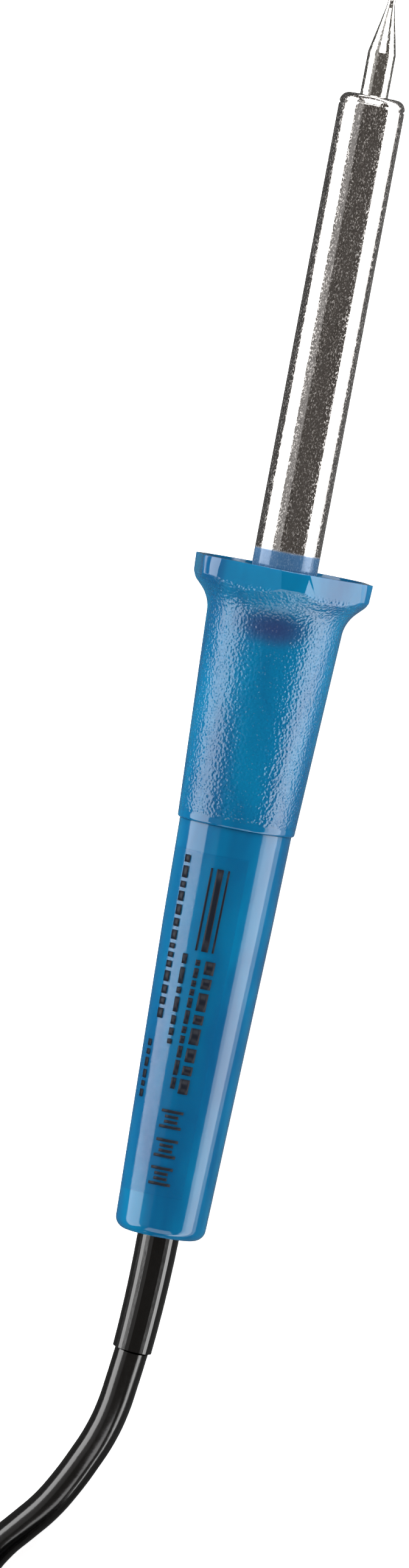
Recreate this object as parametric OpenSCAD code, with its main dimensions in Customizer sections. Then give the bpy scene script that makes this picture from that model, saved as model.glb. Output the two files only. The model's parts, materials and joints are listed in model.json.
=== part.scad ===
// Mains soldering iron lying on a bench, with its folded cord and moulded three-pin plug.
// The iron's pieces are drawn along local z, from the rear end of the handle (z = 0)
// towards the tip, and laid() then puts them on the bench, z = 0, with the tip towards +X.

/* [Handle] */
// Length of the front grip, from its lip to its rear edge
grip_len = 50.2; // [46:0.1:60]
// Length of the rear handle that shows behind the grip
body_len = 79.5; // [70:0.1:95]
// Diameter of the rear handle where it meets the grip
body_front_d = 21.7; // [20.9:0.1:22.2]
// Diameter of the rear handle at its middle station
body_mid_d = 20.9; // [20:0.1:21.6]
// Distance of the middle station from the rear end
body_mid_z = 60; // [40:1:66]
// Diameter of the rear handle beside the rounded end
body_rear_d = 17.5; // [16.8:0.1:19.5]
// Radius of the rounded rear end
end_r = 2.3; // [1.2:0.1:3]
// Thickness of the rear end wall
end_wall = 3.5; // [2.6:0.1:4.5]
// Wall of the rear handle
body_wall = 2.1; // [1.4:0.1:2.2]
// Diameter of the spigot that the grip is pushed on
spigot_d = 18.4; // [17.4:0.1:18.8]
// Wall of the spigot
spigot_wall = 1.8; // [1.2:0.1:2]

/* [Grip] */
// Diameter of the grip at its rear edge
grip_rear_d = 22.7; // [22.4:0.1:24]
// Diameter of the grip in front, under the flare
grip_front_d = 26.2; // [25:0.1:28]
// Radius of the rounded rear edge
grip_edge_r = 0.5; // [0.2:0.1:0.7]
// Radius of the hollow curve under the heat guard
flare_r = 6.8; // [5:0.1:9]
// Diameter of the heat guard across its rounded corners
rim_d = 35.3; // [34:0.1:38]
// Width of the heat guard across its flats
rim_flats = 33; // [31:0.1:33.6]
// Height of the heat guard's rim at its corners
rim_h = 3.5; // [2.5:0.1:5]
// Width of the lip round the dish, at the flats
lip_w = 1.0; // [0.7:0.1:1.6]
// Depth of the dish in the heat guard
dish_depth = 5; // [3:0.1:6]
// Diameter of the dish's floor
dish_floor_d = 17; // [15.5:0.1:20]
// Thickness of the web that the barrel passes through
web_t = 5; // [3:0.1:7]

/* [Barrel and bit] */
// Outer diameter of the barrel
barrel_d = 12.7; // [12.5:0.1:13.1]
// Wall of the barrel
barrel_wall = 0.5; // [0.4:0.05:0.6]
// How far the barrel stands out of the lip, with its nose
barrel_out = 91.5; // [84:0.1:105]
// Height of the nose's rounded shoulder
nose_h = 2.3; // [1.9:0.1:3]
// Radius of the nose's rounded edge
nose_r = 1.5; // [0.8:0.1:1.8]
// Depth of the nose's spigot in the barrel
nose_spigot = 9; // [8:0.1:12]
// Diameter of the bit's shank
bit_d = 5.4; // [5:0.1:5.6]
// How far the bit stands out of the nose
bit_out = 19.1; // [16:0.1:26]
// Length of the bit's cone
cone_len = 8.7; // [7:0.1:11]
// Diameter of the blunt point
point_d = 1.4; // [1:0.1:2]
// Diameter where the cone meets the point
point_root_d = 1.76; // [1.7:0.02:2.4]
// Length of the point
point_len = 2.1; // [1.4:0.1:3]
// Diameter of the bit's set screw
screw_d = 3; // [2.5:0.1:3.4]

/* [Heater] */
// Wall of the tube that holds the bit
tube_wall = 0.4; // [0.3:0.05:0.5]
// Thickness of each mica wrap
mica_t = 0.3; // [0.2:0.05:0.3]
// Diameter of the heater's wire
coil_wire_d = 0.5; // [0.4:0.05:0.55]
// Turns of the heater's wire
coil_turns = 32; // [20:1:40]
// Thickness of the can round the heater
can_t = 0.3; // [0.2:0.05:0.3]
// Length of the ceramic bush
bush_len = 10; // [7:0.1:14]
// Diameter of a heater lead
lead_d = 0.8; // [0.6:0.05:0.9]
// Diameter of a lead's glass-fibre sleeve
lead_sleeve_d = 1.6; // [1.4:0.05:1.7]

/* [Cord entry] */
// Diameter of the cord
cord_d = 6.5; // [6:0.1:7]
// Length of the strain relief outside the handle
relief_len = 22.7; // [20:0.1:30]
// Diameter of the strain relief at the handle
relief_d = 8.1; // [7.8:0.1:8.6]
// Diameter of the strain relief at its free end
relief_end_d = 7.6; // [7.4:0.1:7.8]
// How far the strain relief bends to the side at its free end
relief_bend = 1.0; // [0:0.1:2]
// Diameter of the strain relief's collar inside the handle
collar_d = 10.4; // [9.8:0.1:11]
// Thickness of that collar
collar_t = 1.5; // [1:0.1:2]
// Diameter of the cord clamp
clamp_d = 12.4; // [12:0.1:12.6]
// Length of the cord clamp
clamp_len = 9; // [7:0.1:11]
// Diameter of a core with its insulation
core_d = 2.2; // [2:0.05:2.3]
// Diameter of a core's bare conductor
wire_d = 1.2; // [1:0.05:1.3]

/* [Label] */
// Distance of the label from the grip
label_gap = 5.5; // [2:0.5:20]
// Distance of the label from the rear end
label_z = 8; // [4:0.5:9]
// How far the label reaches round the handle, in degrees
label_span = 100; // [60:1:140]
// Turn of the label's middle away from the top, in degrees
label_turn = 7.5; // [-20:0.5:20]
// Thickness of the label film
label_t = 0.12; // [0.08:0.01:0.2]

/* [Hank and tie] */
// Length of the folded hank
hank_len = 122.5; // [115:0.5:135]
// Radius of the inner fold, at the middle of the cord
fold_r = 19.5; // [19.5:0.5:22]
// Width of the tie
tie_w = 12; // [8:0.5:16]
// Thickness of the tie
tie_t = 0.9; // [0.6:0.1:1.5]

/* [Plug] */
// Width of the plug's body
plug_w = 48; // [46:0.5:50]
// Length of the plug's body along the cord
plug_l = 45; // [44:0.5:48]
// Thickness of the plug's body along its pins
plug_t = 22; // [21:0.5:26]
// Length of the boot that the cord enters
boot_len = 8; // [6:0.5:10]
// Length of the earth pin outside the body
earth_len = 22.7; // [21:0.1:23]
// Length of the line and neutral pins outside the body
live_len = 17.7; // [17:0.1:18.2]
// Length of the sleeves on the line and neutral pins
sleeve_len = 9; // [8:0.1:9.5]
// Distance between the line and neutral pins
pin_gap = 22.2; // [22:0.1:22.4]
// Distance from their line to the earth pin
pin_row = 22.2; // [22:0.1:22.4]
// Length of the fuse
fuse_l = 25.4; // [25:0.1:25.6]
// Diameter of the fuse
fuse_d = 6.35; // [6.2:0.05:6.4]

/* [Hidden] */
$fn = 72;
fine = 32;
big = 200;
soft_fit = 0.3;       // room between pieces that only face each other
press_gap = 0.02;     // room round pieces that are pressed in
run_gap = 0.06;       // running fit of a piece that slides or turns
slip_gap = 0.1;       // room round pieces that are pushed in loosely

// Stations along the iron, from the rear end of the handle
lip_z = body_len + grip_len;
floor_z = lip_z - dish_depth;
web_z = floor_z - web_t;
disc_t = 1.2;
flare_lip = 1;
disc_z = web_z - disc_t;
root_z = disc_z - flare_lip;
nose_z = lip_z + barrel_out;
tube_end_z = nose_z - nose_h;
spigot_z = tube_end_z - nose_spigot;
tip_z = nose_z + bit_out;
bush_z = root_z + 10.5;
heater_z = bush_z + bush_len;
winding_z = heater_z + 3;
winding_end_z = spigot_z - 3;
tube_seat = 2;
bit_rear_z = heater_z + 2 + soft_fit;
screw_z = spigot_z + nose_spigot / 2;

// Radii
barrel_r = barrel_d / 2;
barrel_in_r = barrel_r - barrel_wall;
root_r = barrel_r - 0.05;
bit_r = bit_d / 2;
tube_in_r = bit_r + run_gap;
tube_r = tube_in_r + tube_wall;
mica_r = tube_r + 0.05;
coil_in_r = mica_r + mica_t + 0.05;
coil_r = coil_in_r + coil_wire_d;
cover_r = coil_r + 0.1;
can_r = cover_r + mica_t + 0.1;
lead_r = coil_in_r + coil_wire_d / 2;
spigot_r = spigot_d / 2;
cord_r = cord_d / 2;
rim_r = rim_d / 2;
flat_r = rim_flats / 2;
rear_r = body_rear_d / 2;
cord_seat_r = cord_r + slip_gap;

// The iron rests on one flat of its heat guard and on the rounded rear end of its handle
end_c = rear_r - end_r;
rest_reach = norm([flat_r - end_c, lip_z - end_r]);
rest_tilt = acos(end_r / rest_reach) - atan2(lip_z - end_r, flat_r - end_c);
rear_h = flat_r * cos(rest_tilt) - lip_z * sin(rest_tilt);

// Ends of the iron along X, with the rear end of the handle at 0, and its place about the origin
point_r = point_d / 2;
front_x = (tip_z - point_r) * cos(rest_tilt) + point_r;
relief_cos = cos(atan(2 * relief_bend / relief_len)) * cos(rest_tilt);
rear_x = -relief_len * cos(rest_tilt) - relief_end_d / 2 * sqrt(1 - relief_cos * relief_cos);
x0 = -(front_x + rear_x) / 2;

// The cord leaves the strain relief here. The hank and the plug are placed from this point.
cord_start = [
    x0 - relief_len * cos(rest_tilt),
    relief_bend,
    rear_h - relief_len * sin(rest_tilt)
];

// Hank, two lanes wide and three layers high
layers = 3;
hank_gap = 47.4;      // from the strain relief's free end
plug_gap = 20.5;      // from the hank to the plug's body
outer_r = fold_r + cord_d;
hank_r = outer_r + cord_r;
hank_h = layers * cord_d + tie_t;
top_z = hank_h - tie_t - cord_r;
near_x = cord_start.x - hank_gap;
far_x = near_x - hank_len;
hank_x = (near_x + far_x) / 2;
hank_half = hank_len / 2 - hank_r;
waist_pinch = 8.7;
waist_r = hank_r - waist_pinch;

// Place of the plug
plug_y = 5;
plug_x = far_x - plug_gap;
plug_cord_z = plug_t / 2;
boot_x = plug_x + boot_len;

// Centreline of the cord from the strain relief to the hank: distance along X, share of the way out to
// the hank's outer lane, and height over the bench
cord_route = [for (p = [
        [6.4, 0.08, 2.85], [11.9, 0.123, 1.85], [17.4, 0.192, 0.95], [22.4, 0.28, 0.35],
        [28.7, 0.404, 0.05], [33.5, 0.519, 0], [38.1, 0.665, 0], [42.4, 0.804, 0],
        [47.4, 0.915, 0], [52.9, 0.981, 0], [58.9, 1, 0], [64.9, 1, 0]])
    [cord_start.x - p.x, outer_r * p.y, cord_r + p.z]];

// Centreline from the hank to the plug: distance along X, and shares of the way from the plug to
// the hank's outer lane and top layer
tail_route = [for (p = [
        [21.5, 0.96, 1], [16.5, 0.86, 0.95], [12, 0.71, 0.86], [8, 0.55, 0.72],
        [4, 0.38, 0.55], [-0.5, 0.21, 0.34], [-5.5, 0.08, 0.13], [-10, 0.015, 0.02]])
    [far_x + p.x, plug_y + p.y * (outer_r - plug_y), plug_cord_z + p.z * (top_z - plug_cord_z)]];
route_sides = 10;

// Pieces inside the handle
ferrule_z = 52;       // crimp ferrules, which join the cores to the heater leads
ferrule_l = 10;
ferrule_r = 1.5;
crimp_depth = 4.5;
tag_l = 8;            // earth tag
tag_w = 3;
tag_t = 0.5;
tag_in_r = lead_r + lead_sleeve_d / 2 + slip_gap;
tag_x = tag_in_r + 0.5;
sheath_z = 24;        // inner end of the sheath, where the cores leave it
core_z = sheath_z + slip_gap;
spread_z = 38;        // where each core is on its own line
core_sides = 16;
core_out = 1.5;
clamp_z = end_wall + collar_t;
clamp_screw_y = 4.8;
clamp_screw_d = 1.4;
film_gap = 0.03;      // the label's glue

// Centreline of the strain relief: straight in the handle, then bending more and more to the side
relief_sides = 32;
relief_steps = 5;
relief_run = [for (i = [0:relief_steps]) let (s = i / relief_steps)
    [0, relief_bend * s * s, -relief_len * s]];

// Plug, its pins and its fuse carrier
corner_r = 5;
shoulder_x = 9;
tail_in = 3;
nose_share = 0.56;
face_step = 2;
face_in = 1.2;
boot_r1 = 7.5;
boot_r2 = 5.2;
boot_root = 6;
earth_w = 4;
earth_h = 8;
live_w = 6.35;
live_h = 4;
pin_root = 12;
sleeve_t = 0.4;
pin_x = plug_x - 15;
earth_x = pin_x - pin_row;
carrier_w = 31;
carrier_l = 11;
carrier_t = 9;
fuse_x = pin_x - pin_row / 2 + 1;
fuse_z = plug_t - carrier_t + fuse_d / 2 + 0.6;
cap_l = 6;
cap_t = 0.35;
clip_w = 4.8;
clip_t = 0.5;
clip_y = fuse_l / 2 - cap_l / 2;
clip_depth = 4;
clip_z = plug_t - carrier_t - clip_depth;

blue = [0.03, 0.42, 0.71];
steel = [0.78, 0.78, 0.77];
black = [0.06, 0.06, 0.065];
brass = [0.8, 0.66, 0.35];

// Points of an arc about c, from angle a to angle b
function arc(c, r, a, b, n = 8) =
    [for (i = [0:n]) c + r * [cos(a + (b - a) * i / n), sin(a + (b - a) * i / n)]];

// Outer radius of the rear handle at height z
function body_r(z) = z < body_mid_z
    ? rear_r + (body_mid_d / 2 - rear_r) * (z - end_r) / (body_mid_z - end_r)
    : body_mid_d / 2 + (body_front_d - body_mid_d) / 2 * (z - body_mid_z) / (body_len - body_mid_z);

// Puts a piece of the iron on the bench
module laid() {
    translate([x0, 0, rear_h]) rotate([0, 90 - rest_tilt, 0]) children();
}

// Tube or ring from z a to z b
module ring(outer, inner, a, b) {
    rotate_extrude() translate([inner, a]) square([outer - inner, b - a]);
}

module turned(points) {
    rotate_extrude() polygon(points);
}

// Round bar swept along a route, with one radius or one for each point. Each ring lies across the
// mean of its two neighbouring runs, and its points are counted from the side named by up.
function unit(v) = v / norm(v);
function along(p, i) = unit(p[min(i + 1, len(p) - 1)] - p[max(i - 1, 0)]);
function loop(p, i, r, n, up) = let (t = along(p, i), u = unit(cross(t, up)), v = cross(u, t))
    [for (k = [0:n - 1]) p[i] + r * (cos(360 * k / n) * u + sin(360 * k / n) * v)];
module swept(p, r, n, up = [0, 0, 1]) {
    last = len(p) - 1;
    polyhedron(
        points = [for (i = [0:last]) each loop(p, i, is_list(r) ? r[i] : r, n, up)],
        faces = concat(
            [[for (k = [n - 1:-1:0]) k]],
            [for (i = [0:last - 1]) for (k = [0:n - 1]) let (m = (k + 1) % n)
                each [[i * n + k, (i + 1) * n + m, (i + 1) * n + k],
                    [i * n + k, i * n + m, (i + 1) * n + m]]],
            [[for (k = [0:n - 1]) last * n + k]]));
}

module bit() {
    cone_z = tip_z - point_len - cone_len;
    point_z = tip_z - point_r;
    color(steel) laid() {
        turned([[0, bit_rear_z], [bit_r - 0.4, bit_rear_z], [bit_r, bit_rear_z + 0.4], [bit_r, cone_z],
            [point_root_d / 2, tip_z - point_len], [point_r, point_z], [0, point_z]]);
        translate([0, 0, point_z]) sphere(r = point_r, $fn = fine);
    }
}

module screw_hole(r) {
    translate([0, 0, screw_z]) rotate([0, 90, 0]) cylinder(h = barrel_d, r = r, $fn = fine);
}

module barrel() {
    color(steel) laid() difference() {
        turned([[barrel_in_r, root_z + 0.5], [root_r, root_z], [root_r + 0.7, root_z],
            [root_r + 0.7, disc_z], [root_r, disc_z], [root_r, lip_z], [barrel_r, lip_z],
            [barrel_r, tube_end_z], [barrel_in_r, tube_end_z]]);
        screw_hole(screw_d / 2 + run_gap);
    }
}

module barrel_nose() {
    spigot = barrel_in_r - press_gap;
    bore = bit_r + run_gap;
    color(steel) laid() difference() {
        turned(concat([[bore, spigot_z], [spigot - 0.3, spigot_z], [spigot, spigot_z + 0.3],
                [spigot, tube_end_z], [barrel_r - 0.25, tube_end_z], [barrel_r, tube_end_z + 0.25]],
            arc([barrel_r - nose_r, nose_z - nose_r], nose_r, 0, 90),
            [[bore, nose_z]]));
        ring(tube_r + press_gap, 0, spigot_z - 1, spigot_z + tube_seat);
        screw_hole(screw_d / 2 + run_gap);
    }
}

module bit_screw() {
    slot_w = 0.5;
    slot_d = 0.9;
    near = bit_r + run_gap;
    color([0.3, 0.3, 0.31]) laid() translate([0, 0, screw_z]) rotate([0, 90, 0]) difference() {
        turned([[0, near], [screw_d / 2 - 0.5, near], [screw_d / 2, near + 0.5],
            [screw_d / 2, barrel_r - 0.45], [screw_d / 2 - 0.2, barrel_r - 0.25], [0, barrel_r - 0.25]]);
        translate([-slot_w / 2, -screw_d, barrel_r - 0.25 - slot_d]) cube([slot_w, 2 * screw_d, 2 * slot_d]);
    }
}

module heater_tube() {
    color(steel) laid() ring(tube_r, tube_in_r, heater_z, spigot_z + tube_seat);
}

module inner_mica() {
    color([0.75, 0.68, 0.5]) laid() ring(mica_r + mica_t, mica_r, winding_z, winding_end_z);
}

// Close-wound wire on a thin layer, drawn as one ribbed sleeve
module heating_coil() {
    pitch = (winding_end_z - winding_z - coil_wire_d) / (coil_turns - 1);
    color([0.45, 0.42, 0.4]) laid() rotate_extrude() {
        translate([coil_in_r, winding_z]) square([coil_wire_d / 2, winding_end_z - winding_z]);
        for (i = [0:coil_turns - 1])
            translate([coil_in_r + coil_wire_d / 2, winding_z + coil_wire_d / 2 + i * pitch])
                circle(d = coil_wire_d, $fn = 16);
    }
}

module outer_mica() {
    color([0.75, 0.68, 0.5]) laid() ring(cover_r + mica_t, cover_r, winding_z, winding_end_z);
}

module heater_can() {
    color(steel) laid() ring(can_r + can_t, can_r, heater_z, spigot_z);
}

module lead_holes(r) {
    for (side = [-1, 1]) translate([0, side * lead_r, bush_z - 1])
        cylinder(h = bush_len + 2, r = r, $fn = fine);
}

module ceramic_bush() {
    outer = barrel_in_r - 0.05;
    boss = tube_in_r - run_gap;
    color([0.92, 0.9, 0.85]) laid() difference() {
        turned([[0, bush_z], [outer - 0.5, bush_z], [outer, bush_z + 0.5], [outer, heater_z - 0.5],
            [outer - 0.5, heater_z], [boss, heater_z], [boss, heater_z + 2], [0, heater_z + 2]]);
        lead_holes(lead_d / 2 + slip_gap);
    }
}

module heater_leads() {
    from = ferrule_z + ferrule_l - crimp_depth;
    color(steel) laid() for (side = [-1, 1]) translate([0, side * lead_r, from])
        cylinder(h = winding_z - from, r = lead_d / 2, $fn = fine);
}

module lead_sleeves() {
    color([0.9, 0.88, 0.8]) laid() for (side = [-1, 1]) translate([0, side * lead_r, 0])
        ring(lead_sleeve_d / 2, lead_d / 2 + 0.05, ferrule_z + ferrule_l, bush_z);
}

module crimp_ferrules() {
    color(brass) laid() for (side = [-1, 1]) translate([0, side * lead_r, ferrule_z]) difference() {
        cylinder(h = ferrule_l, r = ferrule_r);
        translate([0, 0, -1]) cylinder(h = crimp_depth + 1, r = wire_d / 2 + 0.05, $fn = fine);
        translate([0, 0, ferrule_l - crimp_depth])
            cylinder(h = crimp_depth + 1, r = lead_d / 2 + 0.05, $fn = fine);
    }
}

module barrel_disc() {
    color(steel) laid() ring(spigot_r - 0.1, root_r + press_gap, disc_z, web_z);
}

module earth_tag() {
    color(brass) laid() {
        ring(root_r + 0.5, tag_in_r, root_z - tag_t, root_z);
        translate([tag_x, -tag_w / 2, root_z - tag_l]) cube([tag_t, tag_w, tag_l - tag_t / 2]);
    }
}

// The grip's outside, turned; the heat guard's flats are cut afterwards
module grip_blank() {
    front = grip_front_d / 2;
    bend = [front + flare_r, lip_z - rim_h - (rim_r - front - flare_r * (1 - cos(45))) - flare_r * sin(45)];
    rear = grip_rear_d / 2;
    turned(concat(
        [[0, body_len], [rear - grip_edge_r, body_len]],
        arc([rear - grip_edge_r, body_len + grip_edge_r], grip_edge_r, -90, 0, 4),
        arc(bend, flare_r, 180, 135),
        [[rim_r, lip_z - rim_h], [rim_r, lip_z], [0, lip_z]]));
}

module front_grip() {
    dish_r = flat_r - lip_w;
    color(blue) laid() difference() {
        grip_blank();
        for (i = [0:5]) rotate(60 * i) translate([flat_r, 0, lip_z]) rotate([0, rest_tilt, 0])
            translate([0, -big / 2, -big / 2]) cube(big);
        turned([[0, floor_z], [dish_floor_d / 2, floor_z], [dish_r, lip_z - 0.6], [dish_r, lip_z + 1],
            [0, lip_z + 1]]);
        ring(root_r + 0.05, 0, web_z - 1, floor_z + 1);
        ring(spigot_r + 0.05, 0, body_len - 1, web_z);
    }
}

module rear_handle() {
    inner = spigot_r - spigot_wall;
    color(blue) laid() difference() {
        turned(concat(
            [[0, 0], [end_c, 0]],
            arc([end_c, end_r], end_r, -90, 0),
            [[body_r(body_mid_z), body_mid_z], [body_front_d / 2, body_len], [spigot_r, body_len],
                [spigot_r, disc_z], [0, disc_z]]));
        turned([[0, end_wall], [body_r(end_wall) - body_wall, end_wall], [inner, body_len], [inner, disc_z + 1],
            [0, disc_z + 1]]);
        translate([0, 0, -1]) cylinder(h = end_wall + 2, r = relief_d / 2 + slip_gap);
    }
}

module label_film() {
    end = body_len - label_gap;
    stations = label_z < body_mid_z && body_mid_z < end ? [label_z, body_mid_z, end] : [label_z, end];
    strip = concat([for (z = stations) [body_r(z) + film_gap, z]],
        [for (i = [len(stations) - 1:-1:0]) [body_r(stations[i]) + film_gap + label_t, stations[i]]]);
    color([0.35, 0.62, 0.85]) laid() rotate([0, 0, 180 - label_turn - label_span / 2])
        rotate_extrude(angle = label_span) polygon(strip);
}

// Points of a core that leaves the sheath straight and spreads to its own line
function core_run(start, goal) = [for (z = [0, 0.15, 0.4, 0.6, 0.85, 1])
    let (s = (1 - cos(180 * z)) / 2, xy = start + (goal - start) * s)
    [xy.x, xy.y, core_z + (spread_z - core_z) * z]];
module core(start, side, c) {
    goal = [0, side * lead_r];
    color(c) laid() {
        swept(concat(core_run(start, goal), [[goal.x, goal.y, ferrule_z]]), core_d / 2, core_sides, [1, 0, 0]);
        translate([goal.x, goal.y, ferrule_z - 1]) cylinder(h = 5, r = wire_d / 2, $fn = fine);
    }
}

module core_live() {
    core([0, core_out], 1, [0.45, 0.25, 0.12]);
}

module core_neutral() {
    core([-core_out * sin(60), -core_out / 2], -1, [0.15, 0.35, 0.75]);
}

module core_earth() {
    x = tag_x - core_d / 2 - press_gap;
    start = [core_out * sin(60), -core_out / 2];
    color([0.35, 0.6, 0.15]) laid()
        swept(concat(core_run(start, [x, 0]), [[x, 0, root_z - 3]]), core_d / 2, core_sides, [1, 0, 0]);
}

function relief_end(past) = relief_run[relief_steps] + past * [0, 2 * relief_bend / relief_len, -1];

module cord_inner() {
    color(black) laid() swept(concat([[0, 0, sheath_z], [0, 0, 1]], relief_run), cord_r, route_sides, [1, 0, 0]);
}

module strain_relief() {
    slope = (relief_end_d - relief_d) / 2 / relief_steps;
    color(black) laid() difference() {
        union() {
            swept(concat([[0, 0, clamp_z], [0, 0, 1]], relief_run),
                concat([relief_d / 2, relief_d / 2], [for (i = [0:relief_steps]) relief_d / 2 + slope * i]),
                relief_sides, [1, 0, 0]);
            ring(collar_d / 2, cord_seat_r, end_wall, clamp_z);
        }
        swept(concat([[0, 0, clamp_z + 1], [0, 0, 1]], relief_run, [relief_end(1)]), cord_seat_r, relief_sides,
            [1, 0, 0]);
    }
}

module clamp_half(side) {
    color([0.85, 0.85, 0.82]) laid() difference() {
        ring(clamp_d / 2, cord_seat_r, clamp_z, clamp_z + clamp_len);
        translate([side > 0 ? -big + 0.2 : -0.2, -big / 2, 0]) cube(big);
        for (y = [-1, 1]) translate([0, y * clamp_screw_y, clamp_z + clamp_len / 2]) rotate([0, 90, 0])
            cylinder(h = clamp_d, r = clamp_screw_d / 2 + 0.05, center = true, $fn = fine);
    }
}

module clamp_upper() {
    clamp_half(-1);
}

module clamp_lower() {
    clamp_half(1);
}

module clamp_screws() {
    reach = 3.2;
    color(steel) laid() for (y = [-1, 1]) translate([0, y * clamp_screw_y, clamp_z + clamp_len / 2])
        rotate([0, 90, 0]) cylinder(h = 2 * reach, r = clamp_screw_d / 2, center = true, $fn = fine);
}

module cord() {
    color(black) swept(concat([cord_start], cord_route), cord_r, route_sides);
}

module cord_to_plug() {
    color(black) swept(concat(tail_route, [[boot_x, plug_y, plug_cord_z]]), cord_r, route_sides);
}

// Outline of the hank: round ends, and a waist where the tie pulls it in
module hank_outline() {
    steps = 12;
    side = [for (i = [0:steps]) let (x = -hank_half + 2 * hank_half * i / steps)
        [x, hank_r - waist_pinch * (1 + cos(180 * x / hank_half)) / 2]];
    polygon(concat(
        side,
        arc([hank_half, 0], hank_r, 90, -90, 16),
        [for (i = [steps:-1:0]) [side[i].x, -side[i].y]],
        arc([-hank_half, 0], hank_r, 270, 90, 16)));
}

module cord_hank() {
    color(black) translate([hank_x, 0, 0]) difference() {
        linear_extrude(hank_h) hank_outline();
        translate([-tie_w / 2, -big / 2, -1]) cube([tie_w, big, 1 + tie_t]);
        for (side = [0, 180]) rotate(side) translate([-tie_w / 2, waist_r, -1]) cube([tie_w, big, big]);
    }
}

module cord_tie() {
    color([0.1, 0.1, 0.1]) translate([hank_x, 0, 0]) difference() {
        translate([-tie_w / 2, -waist_r - tie_t, 0]) cube([tie_w, 2 * (waist_r + tie_t), hank_h + tie_t]);
        translate([-tie_w, -waist_r, tie_t]) cube([2 * tie_w, 2 * waist_r, hank_h - tie_t]);
    }
}

// Outline of the plug seen along its pins: wide at the line and neutral pins, rounded corners
module plug_outline(inset) {
    hull() for (p = [[-corner_r - shoulder_x, plug_w / 2], [-corner_r, nose_share * plug_w / 2],
            [corner_r - plug_l, plug_w / 2 - tail_in]], side = [-1, 1])
        translate([plug_x + p.x, plug_y + side * (p.y - corner_r)]) circle(r = corner_r - inset, $fn = fine);
}

module plug_pocket(gap) {
    translate([fuse_x - carrier_l / 2 - gap, plug_y - carrier_w / 2 - gap, plug_t - carrier_t - gap])
        cube([carrier_l + 2 * gap, carrier_w + 2 * gap, big]);
}

module pin(x, y, w, h, top) {
    translate([x - h / 2, plug_y + y - w / 2, plug_t - pin_root]) cube([h, w, pin_root + top - 1]);
    hull() {
        translate([x - h / 2, plug_y + y - w / 2, plug_t + top - 1.01]) cube([h, w, 0.01]);
        translate([x - h / 2 + 0.8, plug_y + y - w / 2 + 0.8, plug_t + top - 0.01])
            cube([h - 1.6, w - 1.6, 0.01]);
    }
}

module pin_slot(x, y, w, h) {
    translate([x - h / 2, plug_y + y - w / 2, plug_t - pin_root]) cube([h, w, big]);
}

module plug_body() {
    color(black) difference() {
        union() {
            linear_extrude(plug_t - face_step) plug_outline(0);
            linear_extrude(plug_t) plug_outline(face_in);
            translate([plug_x - boot_root, plug_y, plug_cord_z]) rotate([0, 90, 0])
                cylinder(h = boot_len + boot_root, r1 = boot_r1, r2 = boot_r2);
        }
        plug_pocket(slip_gap);
        for (y = [-1, 1]) translate([fuse_x - clip_w, plug_y + y * clip_y - clip_w / 2 - 1, clip_z])
            cube([2 * clip_w, clip_w + 2, clip_depth + 1]);
        pin_slot(earth_x, 0, earth_w + 0.1, earth_h + 0.1);
        for (y = [-1, 1]) pin_slot(pin_x, y * pin_gap / 2, live_w + 0.1, live_h + 0.1);
    }
}

module earth_pin() {
    color(brass) pin(earth_x, 0, earth_w, earth_h, earth_len);
}

module line_pin() {
    color(brass) difference() {
        pin(pin_x, pin_gap / 2, live_w, live_h, live_len);
        sleeve_cut(pin_gap / 2);
    }
}

module neutral_pin() {
    color(brass) difference() {
        pin(pin_x, -pin_gap / 2, live_w, live_h, live_len);
        sleeve_cut(-pin_gap / 2);
    }
}

// The waist in a line or neutral pin that its sleeve sits in
module sleeve_cut(y) {
    translate([pin_x, plug_y + y, plug_t + sleeve_len / 2 + 0.05]) difference() {
        cube([live_h + 1, live_w + 1, sleeve_len], center = true);
        cube([live_h - 2 * sleeve_t, live_w - 2 * sleeve_t, sleeve_len + 1], center = true);
    }
}

module pin_sleeves() {
    inner_gap = 0.02;
    color(black) for (side = [-1, 1])
        translate([pin_x, plug_y + side * pin_gap / 2, plug_t + sleeve_len / 2 + 0.05]) difference() {
            cube([live_h, live_w, sleeve_len - 0.1], center = true);
            cube([live_h - 2 * sleeve_t + inner_gap, live_w - 2 * sleeve_t + inner_gap, sleeve_len + 1],
                center = true);
        }
}

module fuse_carrier() {
    slot = fuse_d / 2 + 0.15;
    color([0.55, 0.1, 0.08]) difference() {
        translate([fuse_x - carrier_l / 2, plug_y - carrier_w / 2, plug_t - carrier_t])
            cube([carrier_l, carrier_w, carrier_t + 0.4]);
        translate([fuse_x, plug_y, fuse_z]) rotate([90, 0, 0])
            cylinder(h = fuse_l + 0.4, r = slot, center = true, $fn = fine);
        translate([fuse_x - slot, plug_y - fuse_l / 2 - 0.2, 0]) cube([2 * slot, fuse_l + 0.4, fuse_z]);
        translate([fuse_x - 1.2, plug_y + carrier_w / 2 - 1.4, plug_t - 0.8]) cube([2.4, 2, 2]);
    }
}

module fuse_body() {
    color([0.9, 0.88, 0.82]) translate([fuse_x, plug_y, fuse_z]) rotate([90, 0, 0])
        cylinder(h = fuse_l - 2 * cap_t - 0.1, r = fuse_d / 2 - cap_t - press_gap, center = true);
}

module fuse_caps() {
    color(steel) translate([fuse_x, plug_y, fuse_z]) for (side = [-1, 1]) rotate([-90 * side, 0, 0])
        translate([0, 0, fuse_l / 2 - cap_l]) difference() {
            cylinder(h = cap_l, r = fuse_d / 2);
            translate([0, 0, -1]) cylinder(h = cap_l + 1 - cap_t, r = fuse_d / 2 - cap_t);
        }
}

// Sprung clips in the plug's body that the fuse's caps sit in
module fuse_clips() {
    clip_h = clip_depth + 0.57;
    color(brass) for (y = [-1, 1]) translate([fuse_x - clip_w / 2, plug_y + y * clip_y - clip_w / 2, clip_z])
        difference() {
            cube([clip_w, clip_w, clip_h]);
            translate([clip_t, -1, clip_t]) cube([clip_w - 2 * clip_t, clip_w + 2, clip_h - 2 * clip_t]);
        }
}

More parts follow.
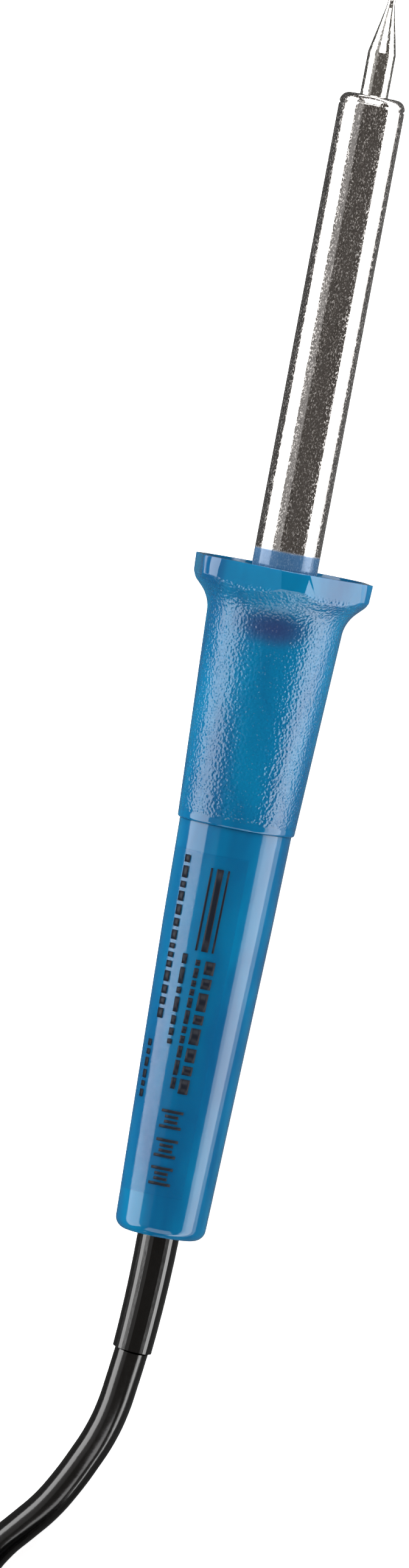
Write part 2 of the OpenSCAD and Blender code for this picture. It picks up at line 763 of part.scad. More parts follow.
bit();
barrel();
barrel_nose();
bit_screw();
heater_tube();
inner_mica();
heating_coil();
outer_mica();
heater_can();
ceramic_bush();
heater_leads();
lead_sleeves();
crimp_ferrules();
barrel_disc();
earth_tag();
front_grip();
rear_handle();
label_film();
core_live();
core_neutral();
core_earth();
cord_inner();
clamp_upper();
clamp_lower();
clamp_screws();
strain_relief();
cord();
cord_hank();
cord_tie();
cord_to_plug();
plug_body();
earth_pin();
line_pin();
neutral_pin();
pin_sleeves();
fuse_carrier();
fuse_body();
fuse_caps();
fuse_clips();
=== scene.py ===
import json
import math
import random

import bpy
from mathutils import Matrix, Vector


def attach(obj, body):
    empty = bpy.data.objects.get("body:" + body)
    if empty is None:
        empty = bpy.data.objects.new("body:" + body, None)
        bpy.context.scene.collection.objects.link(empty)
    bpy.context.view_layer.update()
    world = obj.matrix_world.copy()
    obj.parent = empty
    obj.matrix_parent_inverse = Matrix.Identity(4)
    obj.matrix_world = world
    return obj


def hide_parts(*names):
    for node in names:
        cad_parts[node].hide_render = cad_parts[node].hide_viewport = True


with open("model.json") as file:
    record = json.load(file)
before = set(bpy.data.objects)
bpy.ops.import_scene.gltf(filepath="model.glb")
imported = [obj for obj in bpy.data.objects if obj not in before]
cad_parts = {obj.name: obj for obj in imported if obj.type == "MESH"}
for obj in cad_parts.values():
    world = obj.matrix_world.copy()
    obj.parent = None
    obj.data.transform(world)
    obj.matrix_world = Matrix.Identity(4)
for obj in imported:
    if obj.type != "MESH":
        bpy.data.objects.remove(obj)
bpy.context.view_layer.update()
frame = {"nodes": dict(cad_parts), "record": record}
nodes = frame["nodes"]
MM = 0.001
random.seed(7)

# ---------------------------------------------------------------- sizes, in mm, as in the part
TILT = math.radians(3.4792255295)
COS, SIN = math.cos(TILT), math.sin(TILT)
X0, REAR_H = -108.39762791767355, 8.598532551901318
BODY, LIP = 79.5, 129.7  # where the rear handle and the heat guard end, along the iron
TUBE_END, NOSE = 218.9, 221.2
BIT_R = 2.7
LAID = Matrix.Translation((X0 * MM, 0, REAR_H * MM)) @ Matrix.Rotation(math.pi / 2 - TILT, 4, "Y")
REAR_R, REAR_ROUND = 8.75, 2.3
MID_R, MID_Z = 10.45, 60.0
FRONT_GAIN = 0.4


def body_r(z):
    """The rear handle's radius at height z along the iron."""
    if z < MID_Z:
        return REAR_R + (MID_R - REAR_R) * (z - REAR_ROUND) / (MID_Z - REAR_ROUND)
    return MID_R + FRONT_GAIN * (z - MID_Z) / (BODY - MID_Z)


# ---------------------------------------------------------------- camera
PHI, TAU, ROLL = math.radians(22.5), math.radians(-0.5), math.radians(10.7)
AIM = Vector((-22.3, 6.8, 16.7)) * MM
FAR = 1.8
SENSOR, PX_PER_MM, PHOTO_H = 36, 8.6, 2576
back = Vector((math.sin(TAU), -math.sin(PHI) * math.cos(TAU), math.cos(PHI) * math.cos(TAU)))
axis = Vector((COS, 0, SIN))
along = (axis - back * axis.dot(back)).normalized()
across = along.cross(back)
right = math.sin(ROLL) * along + math.cos(ROLL) * across
up = math.cos(ROLL) * along - math.sin(ROLL) * across

scene = bpy.context.scene
cam = bpy.data.objects.new("camera", bpy.data.cameras.new("camera"))
scene.collection.objects.link(cam)
scene.camera = cam
cam.data.sensor_width = SENSOR
cam.data.lens = PX_PER_MM * FAR * 1000 / PHOTO_H * SENSOR
cam.data.clip_start, cam.data.clip_end = 0.05, 50
turn = Matrix((right, up, back)).transposed().to_4x4()
cam.matrix_world = Matrix.Translation(AIM + back * FAR) @ turn

# ---------------------------------------------------------------- cord
CORD_D = 6.5
CORD_R = CORD_D / 2
RELIEF_LEN, RELIEF_BEND = 22.7, 1.0
HANK_GAP, HANK_LEN, PLUG_GAP = 47.4, 122.5, 20.5
START = Vector((X0 - RELIEF_LEN * COS, RELIEF_BEND, REAR_H - RELIEF_LEN * SIN))
NEAR_X = START.x - HANK_GAP
FAR_X = NEAR_X - HANK_LEN
HANK_X = (NEAR_X + FAR_X) / 2
HALF = 32.0  # half the hank's straight part
WAIST_PULL, HUMP, HUMP_HALF = 8.7, 0.9, 14
# the curve swings a little past its points, so the outer lane and the lowest layer keep in by that
OUTER, INNER = 25.9, 19.5
LOW_Z = CORD_R + 0.06
PLUG_Y, PLUG_Z = 5.0, 11.0
BOOT_X = FAR_X - PLUG_GAP + 8
BOOT_DEPTH = 3

route = [
    (START.x - x, OUTER * y, LOW_Z + z)
    for x, y, z in [
        (6.4, 0.08, 2.85), (11.9, 0.123, 1.85), (17.4, 0.192, 0.95), (22.4, 0.28, 0.35),
        (28.7, 0.404, 0.05), (33.5, 0.519, 0), (38.1, 0.665, 0), (42.4, 0.804, 0),
        (47.4, 0.915, 0), (52.9, 0.981, 0), (58.9, 1, 0), (64.9, 1, 0),
    ]
]
TOP_Z = 16.25
tail = [
    (FAR_X + x, PLUG_Y + y * (OUTER - PLUG_Y), PLUG_Z + z * (TOP_Z - PLUG_Z))
    for x, y, z in [
        (21.5, 0.96, 1), (16.5, 0.86, 0.95), (12, 0.71, 0.86), (8, 0.55, 0.72),
        (4, 0.38, 0.55), (-0.5, 0.21, 0.34), (-5.5, 0.08, 0.13), (-10, 0.015, 0.02),
    ]
]


def waist(x):
    """How far the tie pulls a lane in at x, measured from the hank's middle."""
    return WAIST_PULL * (1 + math.cos(math.pi * x / HALF)) / 2 if abs(x) < HALF else 0


def ease(t):
    return t * t * (3 - 2 * t)


def hank():
    """Centreline inside the hank: four turns and one pass, in two lanes and three layers."""
    lanes = [(OUTER, 0), (INNER, 0), (INNER, 1), (OUTER, 1), (OUTER, 2)]
    pts = []
    for i, (lane, layer) in enumerate(lanes):
        z = LOW_Z + CORD_D * layer

        def lift(x, base):
            """The tie's strap under the cord raises it a little."""
            return base + HUMP * (1 + math.cos(math.pi * min(abs(x), HUMP_HALF) / HUMP_HALF)) / 2

        # outward pass on the +Y side, from the near fold to the far one
        for x in ([20, 10, 0, -10, -20] if i else [18, 9, 0, -10, -20]):
            pts.append((HANK_X + x, lane - waist(x), lift(x, z)))
        if i == len(lanes) - 1:
            break
        # far fold
        for k in range(7):
            a = math.pi / 2 + math.pi * k / 6
            pts.append((HANK_X - HALF + lane * math.cos(a), lane * math.sin(a), z))
        # back on the -Y side
        for x in [-20, -10, 0, 10, 20]:
            pts.append((HANK_X + x, -lane + waist(x), lift(x, z)))
        # near fold, where the cord changes lane or layer
        nxt, nz = lanes[i + 1][0], LOW_Z + CORD_D * lanes[i + 1][1]
        for k in range(9):
            f = ease(k / 8)
            a = -math.pi / 2 + math.pi * k / 8
            r = lane + (nxt - lane) * f
            pts.append((HANK_X + HALF + r * math.cos(a), r * math.sin(a), z + (nz - z) * f))
    return pts


line = [tuple(START)] + route + hank() + tail + [(BOOT_X - BOOT_DEPTH, PLUG_Y, PLUG_Z)]


def curve(name, pts, radius, bevel=6, steps=4):
    data = bpy.data.curves.new(name, "CURVE")
    data.dimensions = "3D"
    data.resolution_u = steps
    data.bevel_depth = radius * MM
    data.bevel_resolution = bevel
    data.use_fill_caps = True
    data.twist_mode = "MINIMUM"
    s = data.splines.new("BEZIER")
    s.bezier_points.add(len(pts) - 1)
    for b, p in zip(s.bezier_points, pts):
        b.co = Vector(p) * MM
        b.handle_left_type = b.handle_right_type = "AUTO"
    o = bpy.data.objects.new(name, data)
    scene.collection.objects.link(o)
    return o


# ---------------------------------------------------------------- material helpers
class Mat:
    """A principled material, with small calls that add its detail."""

    def __init__(self, name, base, rough, metallic=0.0, **sockets):
        self.m = bpy.data.materials.new(name)
        self.m.use_nodes = True
        self.t = self.m.node_tree
        self.p = self.t.nodes["Principled BSDF"]
        self.base = base
        self.p.inputs["Base Color"].default_value = (*base, 1)
        self.p.inputs["Roughness"].default_value = rough
        self.p.inputs["Metallic"].default_value = metallic
        for k, v in sockets.items():
            self.p.inputs[k.replace("_", " ")].default_value = v
        self.coord = self.t.nodes.new("ShaderNodeTexCoord").outputs["Object"]
        self.last_bump = None

    def laid(self):
        """From here on the coordinates are the iron's own: z runs along it from its rear end."""
        ins = {"Vector": self.coord, "Location": LAID.translation}
        n = self.node("Mapping", ins, vector_type="TEXTURE")
        n.inputs["Rotation"].default_value = (0, math.pi / 2 - TILT, 0)
        self.coord = n.outputs[0]
        return self

    def node(self, kind, inputs=None, **props):
        n = self.t.nodes.new("ShaderNode" + kind)
        for k, v in props.items():
            setattr(n, k, v)
        for k, v in (inputs or {}).items():
            if hasattr(v, "is_linked") or hasattr(v, "links"):
                self.t.links.new(v, n.inputs[k])
            else:
                n.inputs[k].default_value = v
        return n

    def math(self, op, a, b=0.0, c=0.0, clamp=False):
        return self.node("Math", {0: a, 1: b, 2: c}, operation=op, use_clamp=clamp).outputs[0]

    def xyz(self, vector=None):
        return self.node("SeparateXYZ", {0: vector or self.coord}).outputs

    def stretch(self, scale, vector=None):
        return self.node("Mapping", {"Vector": vector or self.coord, "Scale": scale}).outputs[0]

    def noise(self, scale, detail=3.0, vector=None, rough=0.5, distort=0.0):
        ins = {
            "Vector": vector or self.coord, "Scale": scale, "Detail": detail,
            "Roughness": rough, "Distortion": distort,
        }
        return self.node("TexNoise", ins).outputs["Fac"]

    def voronoi(self, scale, vector=None, feature="F1"):
        ins = {"Vector": vector or self.coord, "Scale": scale}
        return self.node("TexVoronoi", ins, feature=feature).outputs[0]

    def step(self, value, a, b, lo=0.0, hi=1.0):
        """lo below a, hi above b, smooth between."""
        ins = {"Value": value, "From Min": a, "From Max": b, "To Min": lo, "To Max": hi}
        n = self.node("MapRange", ins)
        n.interpolation_type = "SMOOTHSTEP"
        return n.outputs[0]

    def mix(self, fac, a, b):
        n = self.node("Mix", data_type="RGBA")
        for i, v in ((0, fac), (6, a), (7, b)):
            if hasattr(v, "links"):
                self.t.links.new(v, n.inputs[i])
            else:
                n.inputs[i].default_value = v if i == 0 else (*v, 1)
        return n.outputs[2]

    def colour(self, socket):
        self.t.links.new(socket, self.p.inputs["Base Color"])
        return self

    def roughness(self, value, lo, hi):
        """Roughness runs from lo to hi with a 0..1 value."""
        n = self.node("MapRange", {"Value": value, "To Min": lo, "To Max": hi})
        self.t.links.new(n.outputs[0], self.p.inputs["Roughness"])
        return self

    def bump(self, height, distance, strength=1.0):
        n = self.node("Bump", {"Height": height, "Distance": distance * MM, "Strength": strength})
        if self.last_bump:
            self.t.links.new(self.last_bump, n.inputs["Normal"])
        self.last_bump = n.outputs[0]
        self.t.links.new(self.last_bump, self.p.inputs["Normal"])
        return self


def speckle(m, amount=0.25, scale=900.0):
    """Small uneven colour, from the base colour down."""
    dark = tuple(c * (1 - amount) for c in m.base)
    m.colour(m.mix(m.step(m.noise(scale, 4), 0.35, 0.65), dark, m.base))
    return m


# ---------------------------------------------------------------- materials
def steel_mirror(name, base, mottle):
    """Polished metal whose fine speckle catches some of the light from the sides."""
    m = Mat(name, base, 0.08, 1.0).laid()
    fine = m.noise(3600, 3, m.stretch((1, 1, 0.6)), 0.7)
    streak = m.noise(1300, 4, m.stretch((1, 1, 0.07)), 0.65)
    dark = tuple(c * (1 - mottle) for c in base)
    tint = m.mix(m.step(fine, 0.4, 0.62), dark, base)
    drawn = tuple(c * (1 - mottle * 0.7) for c in base)
    tint = m.mix(m.step(streak, 0.40, 0.58), drawn, tint)
    m.colour(tint)
    m.roughness(m.step(fine, 0.48, 0.66), 0.06, 0.36)
    m.bump(fine, 0.003, 0.6)
    m.bump(m.noise(160, 2, m.stretch((1, 1, 0.3))), 0.02, 0.25)
    return m, tint


barrel_steel, tint = steel_mirror("barrel_steel", (0.90, 0.865, 0.84), 0.6)
# painted reflection: the barrel's root is coloured blue and made mostly not metallic, as in the
# photo, where the polished steel shows the guard
ROOT_LEN, ROOT_FADE = 3.5, 0.6
root_top, root_full = (LIP + ROOT_LEN) * MM, (LIP + ROOT_LEN - ROOT_FADE) * MM
painted_reflection = barrel_steel.step(barrel_steel.xyz()[2], root_top, root_full, 0.0, 0.9)
barrel_steel.colour(barrel_steel.mix(painted_reflection, tint, (0.004, 0.10, 0.24)))
metallic = barrel_steel.math("SUBTRACT", 1.0, painted_reflection)
barrel_steel.t.links.new(metallic, barrel_steel.p.inputs["Metallic"])
bit_metal = steel_mirror("bit_metal", (0.86, 0.84, 0.80), 0.4)[0]
bit_metal.bump(bit_metal.noise(700, 2, bit_metal.stretch((1, 1, 1.6))), 0.05, 0.5)

steel = Mat("steel", (0.55, 0.55, 0.56), 0.3, 1.0)
speckle(steel, 0.3)
steel.roughness(steel.noise(700, 4), 0.2, 0.42).bump(steel.noise(1500, 4), 0.02, 0.4)

brass = Mat("brass", (0.72, 0.52, 0.22), 0.25, 1.0)
speckle(brass, 0.25, 500)
brass.roughness(brass.noise(600, 4), 0.16, 0.4).bump(brass.noise(1200, 4), 0.02, 0.35)

mica = Mat("mica", (0.62, 0.52, 0.30), 0.35)
speckle(mica, 0.4, 300)
mica.roughness(mica.noise(240, 4), 0.2, 0.6).bump(mica.noise(400, 5), 0.05, 0.5)

winding = Mat("winding", (0.25, 0.22, 0.20), 0.4, 1.0)
speckle(winding, 0.4, 1200)
winding.roughness(winding.noise(900, 3), 0.3, 0.6).bump(winding.noise(1500, 3), 0.02, 0.4)

ceramic = Mat("ceramic", (0.80, 0.77, 0.70), 0.6)
speckle(ceramic, 0.12, 700)
ceramic.roughness(ceramic.noise(500, 4), 0.5, 0.8).bump(ceramic.noise(1600, 5), 0.03, 0.6)

glass_fibre = Mat("glass_fibre", (0.76, 0.73, 0.60), 0.7)
speckle(glass_fibre, 0.3, 1800)
glass_fibre.roughness(glass_fibre.noise(900, 2), 0.6, 0.9)
glass_fibre.bump(glass_fibre.voronoi(2200), 0.08, 0.7)


def core(name, base):
    m = Mat(name, base, 0.4)
    speckle(m, 0.15, 400)
    m.roughness(m.noise(500, 3), 0.3, 0.5).bump(m.noise(900, 3), 0.02, 0.4)
    return m


core_brown = core("core_brown", (0.13, 0.045, 0.015))
core_blue = core("core_blue", (0.01, 0.05, 0.33))
core_green = core("core_green", (0.06, 0.22, 0.01))
stripe = core_green.step(core_green.noise(60, 0, core_green.stretch((0.2, 3, 3))), 0.49, 0.51)
core_green.colour(core_green.mix(stripe, core_green.base, (0.7, 0.55, 0.02)))

clamp_white = Mat("clamp_white", (0.62, 0.62, 0.58), 0.5)
speckle(clamp_white, 0.08, 600)
clamp_white.roughness(clamp_white.noise(600, 3), 0.4, 0.65)
clamp_white.bump(clamp_white.noise(1300, 4), 0.03, 0.5)


def black_plastic(name, base, lo, hi, grain):
    m = Mat(name, base, lo)
    speckle(m, 0.3, 800)
    m.roughness(m.noise(700, 4), lo, hi)
    m.bump(m.noise(1500, 4), grain, 0.5)
    return m


sheath = black_plastic("sheath", (0.002, 0.002, 0.002), 0.12, 0.2, 0.02)
sheath.p.inputs["IOR"].default_value = 1.62
sheath.bump(sheath.noise(90, 2), 0.15, 0.25)
plug_black = black_plastic("plug_black", (0.012, 0.012, 0.013), 0.3, 0.45, 0.05)
pin_sleeve = black_plastic("pin_sleeve", (0.014, 0.014, 0.014), 0.35, 0.5, 0.02)
tie_black = black_plastic("tie_black", (0.012, 0.012, 0.013), 0.55, 0.8, 0.02)
tie_black.bump(tie_black.voronoi(1400, tie_black.stretch((1, 2, 2))), 0.25, 0.8)
carrier_red = Mat("carrier_red", (0.30, 0.012, 0.010), 0.3)
speckle(carrier_red, 0.15, 500)
carrier_red.roughness(carrier_red.noise(600, 3), 0.22, 0.42)
carrier_red.bump(carrier_red.noise(1500, 4), 0.03, 0.5)

# the middle of the label lies this far round from the top of the iron, and so does the painted
# shade spot
LABEL_TURN = math.radians(22.5)
LABEL_COS, LABEL_SIN = math.cos(LABEL_TURN), math.sin(LABEL_TURN)
DEEP, BLUE = (0.001, 0.066, 0.166), (0.0, 0.122, 0.248)


def blue_plastic(name):
    m = Mat(name, BLUE, 0.1, IOR=1.45)
    m.p.inputs["Subsurface Weight"].default_value = 0.12
    m.p.inputs["Subsurface Radius"].default_value = (0.0005, 0.0015, 0.003)
    m.p.inputs["Subsurface Scale"].default_value = 1.0
    return m


def clouded(m):
    """Two depths of blue in soft clouds drawn out along the iron, the same all round it."""
    cloud = m.noise(90, 3, m.stretch((1, 1, 0.35)), 0.55, 0.4)
    return m.mix(m.step(cloud, 0.3, 0.7), DEEP, BLUE)


handle_blue = blue_plastic("handle_blue").laid()
handle_blue.colour(clouded(handle_blue))
handle_blue.roughness(handle_blue.noise(800, 4), 0.06, 0.14)
handle_blue.bump(handle_blue.noise(300, 3), 0.03, 0.3)

grip_blue = blue_plastic("grip_blue").laid()
tone = clouded(grip_blue)
gx, gy, gz = grip_blue.xyz()
lower = grip_blue.step(gz, (BODY + 1.2) * MM, (BODY + 2.2) * MM)
upper = grip_blue.step(gz, (LIP - 3.2) * MM, (LIP - 4.6) * MM)
grained = grip_blue.math("MULTIPLY", lower, upper)
# painted shade: a dark spot below the guard, on the label's side only, where the metal inside keeps
# the light from coming through
SPOT_Z, SPOT_WIDE, SPOT_TALL = LIP - 11.2, 6.5, 3.4
along_x = grip_blue.math("MULTIPLY", gx, LABEL_SIN)
aside = grip_blue.math("ADD", along_x, grip_blue.math("MULTIPLY", gy, -LABEL_COS))
near_side = grip_blue.math("ADD", grip_blue.math("MULTIPLY", gx, LABEL_COS), gy)
facing = grip_blue.step(near_side, 0.0, -0.004)
u2 = grip_blue.math("POWER", grip_blue.math("MULTIPLY", aside, 1 / (SPOT_WIDE * MM)), 2.0)
dz = grip_blue.math("SUBTRACT", gz, SPOT_Z * MM)
dz = grip_blue.math("MULTIPLY", dz, 1 / (SPOT_TALL * MM))
painted_shade = grip_blue.math("ADD", u2, grip_blue.math("POWER", dz, 2.0))
painted_shade = grip_blue.math("MULTIPLY", grip_blue.step(painted_shade, 1.6, -0.4), facing)
grip_blue.colour(grip_blue.mix(painted_shade, tone, (0.018, 0.030, 0.10)))
cells = grip_blue.voronoi(1900, None, "SMOOTH_F1")
pebble = grip_blue.math("ADD", cells, grip_blue.math("MULTIPLY", grip_blue.noise(1700, 2), 0.6))
grip_blue.bump(grip_blue.math("MULTIPLY", pebble, grained), 0.17, 1.0)
grip_blue.roughness(grip_blue.math("MULTIPLY", grained, grip_blue.noise(900, 3)), 0.07, 0.16)

label = Mat("label", (0.004, 0.12, 0.29), 0.12)
label.p.inputs["Alpha"].default_value = 0.12
label.roughness(label.noise(700, 3), 0.08, 0.2).bump(label.noise(240, 3), 0.02, 0.3)

print_ink = Mat("print_ink", (0.008, 0.010, 0.016), 0.35)
print_ink.p.inputs["Specular IOR Level"].default_value = 0.1
print_ink.roughness(print_ink.noise(900, 3), 0.25, 0.45).bump(print_ink.noise(1800, 3), 0.01, 0.4)

by_slot = {
    "bit_metal": bit_metal, "barrel_steel": barrel_steel, "steel": steel, "mica": mica,
    "winding": winding, "ceramic": ceramic, "glass_fibre": glass_fibre, "brass": brass,
    "grip_blue": grip_blue, "handle_blue": handle_blue, "label": label,
    "core_brown": core_brown, "core_blue": core_blue, "core_green": core_green,
    "sheath": sheath, "clamp_white": clamp_white, "tie": tie_black, "plug_black": plug_black,
    "pin_sleeve": pin_sleeve, "carrier_red": carrier_red,
}
for sub in frame["record"]["subparts"]:
    o = nodes[sub["node"]]
    o.data.materials.clear()
    o.data.materials.append(by_slot[sub["material_slot"]].m)


def soften(node, width, angle=32):
    """Rounds a CAD node's sharp edges a little, so that they catch the light."""
    o = nodes[node]
    weld = o.modifiers.new("weld", "WELD")
    weld.merge_threshold = 0.002 * MM
    bevel = o.modifiers.new("bevel", "BEVEL")
    bevel.width, bevel.segments, bevel.limit_method = width * MM, 2, "ANGLE"
    bevel.angle_limit = math.radians(angle)
    bevel.harden_normals = False
    bevel.use_clamp_overlap = True
    return o


soften("front_grip", 0.28, 24)
soften("rear_handle", 0.12)
soften("plug_body", 0.5)
soften("fuse_carrier", 0.25)
soften("clamp_upper", 0.15)
soften("clamp_lower", 0.15)
soften("cord_tie", 0.25)


def lathe(name, profile, slot_name, body, segments=160):
    """A turned piece: profile is [(radius, z)] in mm, and closes on itself."""
    verts, faces, n = [], [], len(profile)
    for k in range(segments):
        a = 2 * math.pi * k / segments
        verts += [LAID @ (Vector((r * math.cos(a), r * math.sin(a), z)) * MM) for r, z in profile]
    for k in range(segments):
        for i in range(n):
            j, m = (i + 1) % n, (k + 1) % segments
            faces.append((k * n + i, m * n + i, m * n + j, k * n + j))
    mesh = bpy.data.meshes.new(name)
    mesh.from_pydata(verts, [], faces)
    for poly in mesh.polygons:
        poly.use_smooth = True
    mesh.set_sharp_from_angle(angle=math.radians(35))
    o = bpy.data.objects.new(name, mesh)
    scene.collection.objects.link(o)
    mesh.materials.append(by_slot[slot_name].m)
    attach(o, body)
    return o


# the nose, with its groove and its domed shoulder
SHOULDER_R, DOME_IN, DOME_UP, BORE_R = 6.34, 1.75, 1.93, BIT_R + 0.06
turns = [math.radians(a) for a in range(6, 91, 7)]
shoulder = [
    (SHOULDER_R - DOME_IN * (1 - math.cos(a)), TUBE_END + 0.35 + DOME_UP * math.sin(a))
    for a in turns
]
spigot = [
    (BORE_R, TUBE_END - 9), (5.5, TUBE_END - 9), (5.8, TUBE_END - 8.7), (5.8, TUBE_END + 0.01)
]
groove = [(6.12, TUBE_END + 0.02), (6.12, TUBE_END + 0.16)]
mouth = [(3.3, NOSE - 0.02), (BIT_R + 0.22, NOSE - 0.06), (BORE_R, NOSE - 0.25)]
nose = lathe("nose_shell", spigot + groove + shoulder + mouth, "barrel_steel", "iron")
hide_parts("barrel_nose")

# ---------------------------------------------------------------- the cord as one smooth curve
cord = curve("cord_run", line, CORD_R, 8, 4)
cord.data.materials.append(sheath.m)
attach(cord, "iron")
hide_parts("cord", "cord_hank", "cord_to_plug")


# ---------------------------------------------------------------- plain bars and ticks on the label
INK_THICK = 0.025
ink_v, ink_f = [], []


def bar(z0, z1, a0, a1, tall, lift=0.165):
    """A bar on the label from height z0 to z1, a0 and a1 mm to the right of the label's middle."""
    steps = max(1, int(abs(z1 - z0) / 3))
    first = len(ink_v)
    for i in range(steps + 1):
        z = z0 + (z1 - z0) * i / steps
        a = a0 + (a1 - a0) * i / steps
        r = body_r(z) + lift
        for k in range(4):
            side = max(-0.985, min(0.985, (a + tall * (k / 3 - 0.5)) / r))
            t = math.asin(side)
            x = -math.cos(t) * LABEL_COS + math.sin(t) * LABEL_SIN
            y = -math.cos(t) * LABEL_SIN - math.sin(t) * LABEL_COS
            ink_v.append((r * x * MM, r * y * MM, z * MM))
    for i in range(steps):
        for k in range(3):
            q = first + i * 4 + k
            ink_f.append((q, q + 1, q + 5, q + 4))


def dashes(z0, z1, a0, a1, tall, longest, gap):
    """A row of short bars of uneven length, from z0 down to z1."""
    z = z0
    while z > z1 + gap:
        run = min(longest * (0.35 + 0.65 * random.random()), z - z1)
        f0, f1 = (z0 - z) / (z0 - z1), (z0 - z + run) / (z0 - z1)
        bar(z, z - run, a0 + (a1 - a0) * f0, a0 + (a1 - a0) * f1, tall)
        z -= run + gap


bar(71.5, 55.5, 0.35, 0.1, 0.4)
bar(71.5, 55.5, -1.3, -1.5, 1.3)
bar(71.5, 55.5, -2.95, -3.1, 0.4)
dashes(53.8, 28.0, 0.1, -0.6, 1.9, 4.5, 0.8)
dashes(53.8, 28.4, -2.3, -2.7, 0.9, 3.0, 0.5)
dashes(54.5, 37.0, -4.95, -4.85, 0.9, 3.2, 0.7)
dashes(73.0, 41.0, -7.9, -7.6, 1.0, 2.6, 0.7)
dashes(37.0, 25.0, -8.5, -8.3, 0.6, 2.0, 0.6)
for z in (24.6, 19.0, 13.6):
    for k in range(4):
        bar(z - k, z - k - 0.55, -1.75, -1.75, 4.2 if k in (0, 3) else 2.6)
ink_mesh = bpy.data.meshes.new("label_print")
ink_mesh.from_pydata(ink_v, [], ink_f)
ink = bpy.data.objects.new("label_print", ink_mesh)
scene.collection.objects.link(ink)
ink.matrix_world = LAID
ink_mesh.materials.append(print_ink.m)
for poly in ink_mesh.polygons:
    poly.use_smooth = True
solid = ink.modifiers.new("solid", "SOLIDIFY")
solid.thickness = INK_THICK * MM
solid.offset = -1
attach(ink, "iron")

# ---------------------------------------------------------------- floor, world and light
FLOOR_HALF, FLOOR_Z, CARD_Z = 6, -0.0012, -0.001
FLOOR_WHITE, FLOOR_GLOW = 0.9, 0.84


def staged(name, verts, faces):
    """A piece of the stage, with an empty material: gives the object, the nodes and the links."""
    mesh = bpy.data.meshes.new(name)
    mesh.from_pydata(verts, [], faces)
    o = bpy.data.objects.new(name, mesh)
    scene.collection.objects.link(o)
    m = bpy.data.materials.new(name)
    m.use_nodes = True
    m.node_tree.nodes.clear()
    mesh.materials.append(m)
    return o, m.node_tree.nodes, m.node_tree.links


signs = ((-1, -1), (1, -1), (1, 1), (-1, 1))
corners = [(x * FLOOR_HALF, y * FLOOR_HALF, FLOOR_Z) for x, y in signs]
_, fn, fl = staged("floor", corners, [(0, 1, 2, 3)])
lit = fn.new("ShaderNodeBsdfDiffuse")
lit.inputs["Color"].default_value = (FLOOR_WHITE, FLOOR_WHITE, FLOOR_WHITE, 1)
glow = fn.new("ShaderNodeEmission")
glow.inputs["Color"].default_value = (FLOOR_GLOW, FLOOR_GLOW, FLOOR_GLOW, 1)
both = fn.new("ShaderNodeAddShader")
fl.new(lit.outputs[0], both.inputs[0])
fl.new(glow.outputs[0], both.inputs[1])
# white to the camera, and in metal and glass
path = fn.new("ShaderNodeLightPath")
seen = path.outputs["Is Camera Ray"]
for ray in ("Is Glossy Ray", "Is Transmission Ray"):
    most = fn.new("ShaderNodeMath")
    most.operation = "MAXIMUM"
    fl.new(seen, most.inputs[0])
    fl.new(path.outputs[ray], most.inputs[1])
    seen = most.outputs[0]
pick = fn.new("ShaderNodeMixShader")
fl.new(seen, pick.inputs[0])
fl.new(lit.outputs[0], pick.inputs[1])
fl.new(both.outputs[0], pick.inputs[2])
fl.new(pick.outputs[0], fn.new("ShaderNodeOutputMaterial").inputs["Surface"])


def flag(name, section, grey):
    """A long grey card beside the iron that shows only in reflections and outlines polished edges.

    section is the card's line across the iron, as (y, z) in metres."""
    ends = (-0.24, 0.20)
    n = len(section)
    verts = [(x, y, z) for x in ends for y, z in section]
    o, nds, lks = staged(name, verts, [(i, i + 1, n + i + 1, n + i) for i in range(n - 1)])
    dim = nds.new("ShaderNodeEmission")
    dim.inputs["Color"].default_value = (grey, grey * 0.985, grey * 0.97, 1)
    lks.new(dim.outputs[0], nds.new("ShaderNodeOutputMaterial").inputs["Surface"])
    o.visible_camera = o.visible_diffuse = o.visible_shadow = o.visible_transmission = False


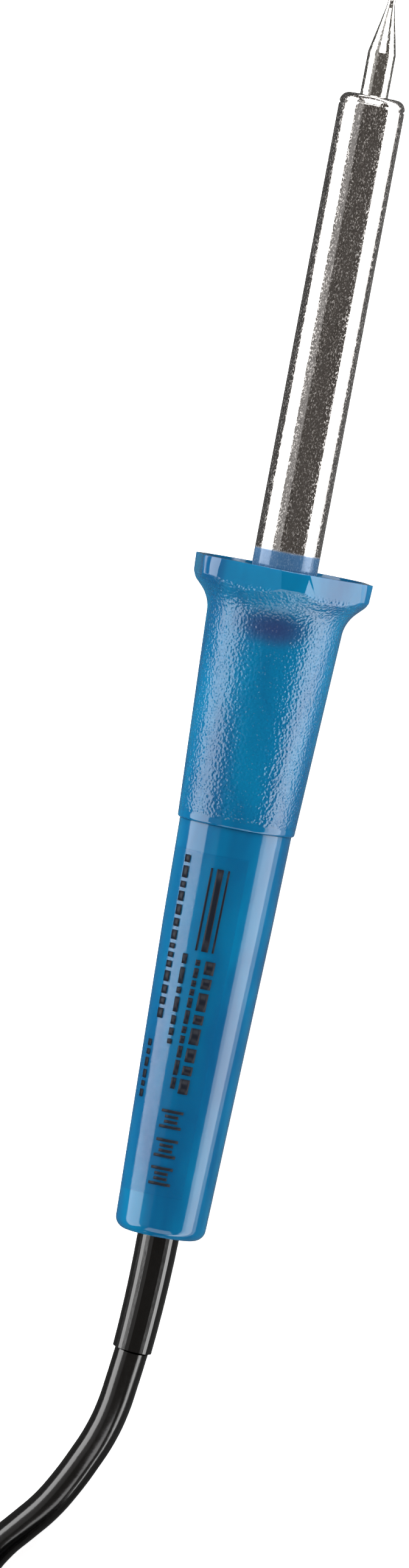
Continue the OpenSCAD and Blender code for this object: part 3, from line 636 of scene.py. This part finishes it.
flag("flag_left", [(0.0, CARD_Z), (0.05, CARD_Z), (0.05, 0.026)], 0.10)
flag("flag_right", [(0.0, CARD_Z), (-0.026, CARD_Z)], 0.16)

world = bpy.data.worlds.new("world")
scene.world = world
world.use_nodes = True
world.node_tree.nodes["Background"].inputs["Color"].default_value = (0.125, 0.114, 0.105, 1)
world.node_tree.nodes["Background"].inputs["Strength"].default_value = 1.0


def area(name, centre, x, y, z, wide, deep, power):
    """An area light at centre, in metres, wide along x and deep along y, that shines against z."""
    data = bpy.data.lights.new(name, "AREA")
    data.shape = "RECTANGLE"
    data.size, data.size_y = wide, deep
    data.energy = power
    o = bpy.data.objects.new(name, data)
    scene.collection.objects.link(o)
    o.matrix_world = Matrix.Translation(centre) @ Matrix((x, y, z)).transposed().to_4x4()
    o.visible_camera = False


def light(name, centre, facing, wide, deep, power):
    """An area light that looks towards facing; its long side lies along X."""
    z = -(Vector(facing) - Vector(centre)).normalized()
    x = Vector((1, 0, 0))
    area(name, centre, x, z.cross(x).normalized(), z, wide, deep, power)


MID = (0.0, 0.0, 0.015)
light("left_box", (0.0, 0.60, 0.38), MID, 1.5, 0.62, 14.5)
light("right_table", (0.0, -0.348, -0.0008), (0.0, -0.348, 1.0), 1.5, 0.62, 11)
light("right_box", (0.0, -0.75, 0.055), MID, 1.5, 0.11, 2)

left = Vector((0, 1, 0)) - back * back.y
left.normalize()
FILL_TURN = math.radians(42)
fill_at = Vector(MID) + back * math.cos(FILL_TURN) + left * math.sin(FILL_TURN)
light("left_fill", fill_at, MID, 1.5, 0.46, 0.7)


def card_light(name, towards, angle, wide, deep, power, away=1.1):
    """A soft light above the iron, turned by angle towards one of its ends."""
    a = math.radians(angle)
    d = (back * math.cos(a) + Vector((towards, 0, 0)) * math.sin(a)).normalized()
    y = Vector((towards, 0, 0)) - d * (towards * d.x)
    y.normalize()
    area(name, Vector(MID) + d * away, y.cross(d), y, d, wide, deep, power)


card_light("tip_card", 1, 46, 1.0, 0.85, 12)
card_light("rear_card", -1, 62, 1.0, 0.7, 6)

# ---------------------------------------------------------------- view
scene.view_settings.view_transform = "Standard"
